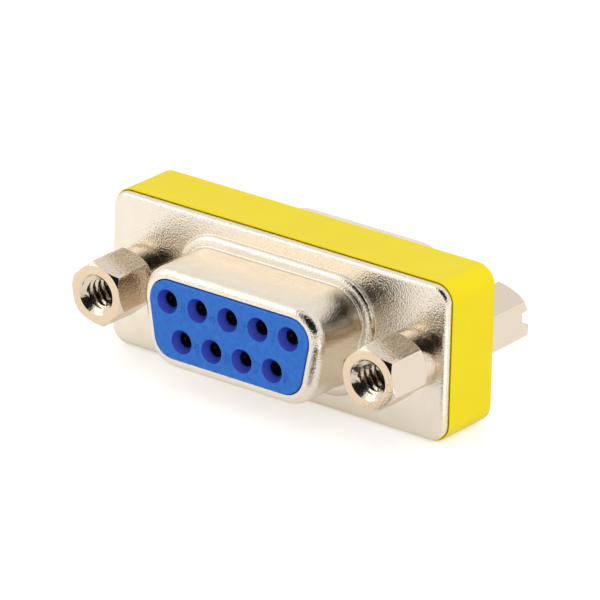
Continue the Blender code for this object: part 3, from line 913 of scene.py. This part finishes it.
def add_floor():
    """Pale floor that lifts to white for the camera, less so in reflections, and keeps the shadow."""
    material = new_material("floor_white", (0.80, 0.80, 0.80), 0.35, 0, specular=0.35)
    tree = material.node_tree
    path = tree.nodes.new("ShaderNodeLightPath")
    mirrored = add_math(tree, "MULTIPLY", path.outputs["Is Glossy Ray"], FLOOR_GLOSSY_SHARE)
    shown = add_math(tree, "MAXIMUM", path.outputs["Is Camera Ray"], mirrored)
    lift = add_math(tree, "MULTIPLY", shown, FLOOR_LIFT)
    shader = tree.nodes["Principled BSDF"]
    shader.inputs["Emission Color"].default_value = (1, 1, 1, 1)
    tree.links.new(lift, shader.inputs["Emission Strength"])
    floor = add_stage_plane("floor", FLOOR_HALF_SIZE, material)
    floor.location.z = -FLOOR_DROP


def card_material(name, middle, glows):
    """Glow that changes softly from the middle of a card to its edge; the middle is a radius."""
    material = new_material(name, (0, 0, 0), 1, 0, specular=0)
    nodes, links = material.node_tree.nodes, material.node_tree.links
    spot = nodes.new("ShaderNodeTexCoord")
    length = nodes.new("ShaderNodeVectorMath")
    length.operation = "LENGTH"
    fade = nodes.new("ShaderNodeMapRange")
    fade.interpolation_type = "SMOOTHSTEP"
    fade.inputs["From Min"].default_value = middle
    fade.inputs["From Max"].default_value = CARD_FADE_END
    fade.inputs["To Min"].default_value = glows[0]
    fade.inputs["To Max"].default_value = glows[1]
    links.new(spot.outputs["Object"], length.inputs[0])
    links.new(length.outputs["Value"], fade.inputs["Value"])
    shader = nodes["Principled BSDF"]
    shader.inputs["Emission Color"].default_value = (1, 1, 1, 1)
    links.new(fade.outputs["Result"], shader.inputs["Emission Strength"])
    return material


def add_card(name, place, rotation, size, middle, glows):
    """Card that only reflections see."""
    card = add_stage_plane(name, 0.5, card_material(name, middle, glows))
    card.location = place
    card.rotation_mode = "QUATERNION"
    card.rotation_quaternion = rotation
    card.scale = (*size, 1)
    card.visible_camera = False
    card.visible_shadow = False
    card.visible_diffuse = False


def toward(azimuth, elevation):
    """Direction of length 1 from the object; azimuth 0 is the side that the front half faces."""
    level = math.cos(elevation)
    return Vector((math.sin(azimuth) * level, -math.cos(azimuth) * level, math.sin(elevation)))


def add_cards():
    """Two cards that stand off and face the object, and two that lie on the floor beside it as a painted
    shadow and a painted pool of light.
    """
    for name, azimuth, elevation, size, middle, glows in (
        ("dark_card", 28 * DEG, 34 * DEG, (1.40, 1.14), 0.36, (0.01, 1.0)),
        ("bright_card", -50 * DEG, 28 * DEG, (0.90, 0.70), 0.20, (1.85, 1.0)),
    ):
        place = toward(azimuth, elevation) * CARD_DISTANCE
        add_card(name, place, place.to_track_quat("Z", "Y"), size, middle, glows)
    # A dark patch on the floor is a painted shadow, and a bright one is a painted pool of light, both
    # seen only in reflections.
    for name, x, y, size, middle, glows in (
        ("floor_shadow_card", 15 * MM, -17 * MM, (14 * MM, 14 * MM), 0.25, (0.05, 0.9)),
        ("floor_light_card", 28 * MM, -11 * MM, (24 * MM, 20 * MM), 0.20, (1.8, 1.05)),
    ):
        add_card(name, Vector((x, y, CARD_HEIGHT)), Quaternion(), size, middle, glows)


def add_world():
    """Soft light on the object, and plain white for the camera and in reflections."""
    world = bpy.data.worlds.new("studio")
    bpy.context.scene.world = world
    world.use_nodes = True
    tree = world.node_tree
    tree.nodes.clear()
    path = tree.nodes.new("ShaderNodeLightPath")
    shown = add_math(tree, "MAXIMUM", path.outputs["Is Camera Ray"], path.outputs["Is Glossy Ray"])
    shown = add_math(tree, "MAXIMUM", shown, path.outputs["Is Transmission Ray"])
    mix = tree.nodes.new("ShaderNodeMixShader")
    tree.links.new(shown, mix.inputs["Fac"])
    backgrounds = ((WORLD_TINT, WORLD_STRENGTH), ((1, 1, 1), 1.0))
    for socket, (colour, strength) in zip(mix.inputs[1:], backgrounds):
        background = tree.nodes.new("ShaderNodeBackground")
        background.inputs["Color"].default_value = (*colour, 1)
        background.inputs["Strength"].default_value = strength
        tree.links.new(background.outputs[0], socket)
    output = tree.nodes.new("ShaderNodeOutputWorld")
    tree.links.new(mix.outputs[0], output.inputs["Surface"])


def add_lamps():
    """Large soft lamps that face the object; sizes are in metres and powers in watts."""
    for name, place, size, power in (
        ("overhead", (0.05, -0.1, 0.5), 0.45, 0.20),
        ("fill", (0.50, -0.28, 0.20), 0.40, 1.00),
    ):
        data = bpy.data.lights.new(name, "AREA")
        data.size = size
        data.energy = power
        lamp = linked(data)
        lamp.visible_glossy = False
        lamp.location = place
        lamp.rotation_mode = "QUATERNION"
        lamp.rotation_quaternion = Vector(place).to_track_quat("Z", "Y")


def add_camera():
    """The photograph's view; it aims at a point right of and above the front plate's middle."""
    back = toward(CAMERA_AZIMUTH, CAMERA_ELEVATION)
    right = Vector((math.cos(CAMERA_AZIMUTH), math.sin(CAMERA_AZIMUTH), 0))
    up = back.cross(right)
    aim = right * AIM_RIGHT + up * AIM_UP
    turned_right = right * math.cos(CAMERA_ROLL) + up * math.sin(CAMERA_ROLL)
    turned_up = up * math.cos(CAMERA_ROLL) - right * math.sin(CAMERA_ROLL)
    data = bpy.data.cameras.new("camera")
    data.sensor_width = SENSOR_WIDTH
    data.lens = SENSOR_WIDTH * FOCAL_PIXELS / PHOTO_PIXELS
    data.clip_start = CLIP_START
    data.clip_end = CLIP_END
    camera = linked(data)
    matrix = Matrix((turned_right, turned_up, back)).transposed().to_4x4()
    matrix.translation = aim + back * CAMERA_DISTANCE + FRONT.translation
    camera.matrix_world = matrix
    bpy.context.scene.camera = camera


add_halves()
add_band()
add_fasteners()
finish_contacts()
add_floor()
add_cards()
add_world()
add_lamps()
add_camera()
bpy.context.scene.view_settings.view_transform = "Standard"
bpy.context.view_layer.update()
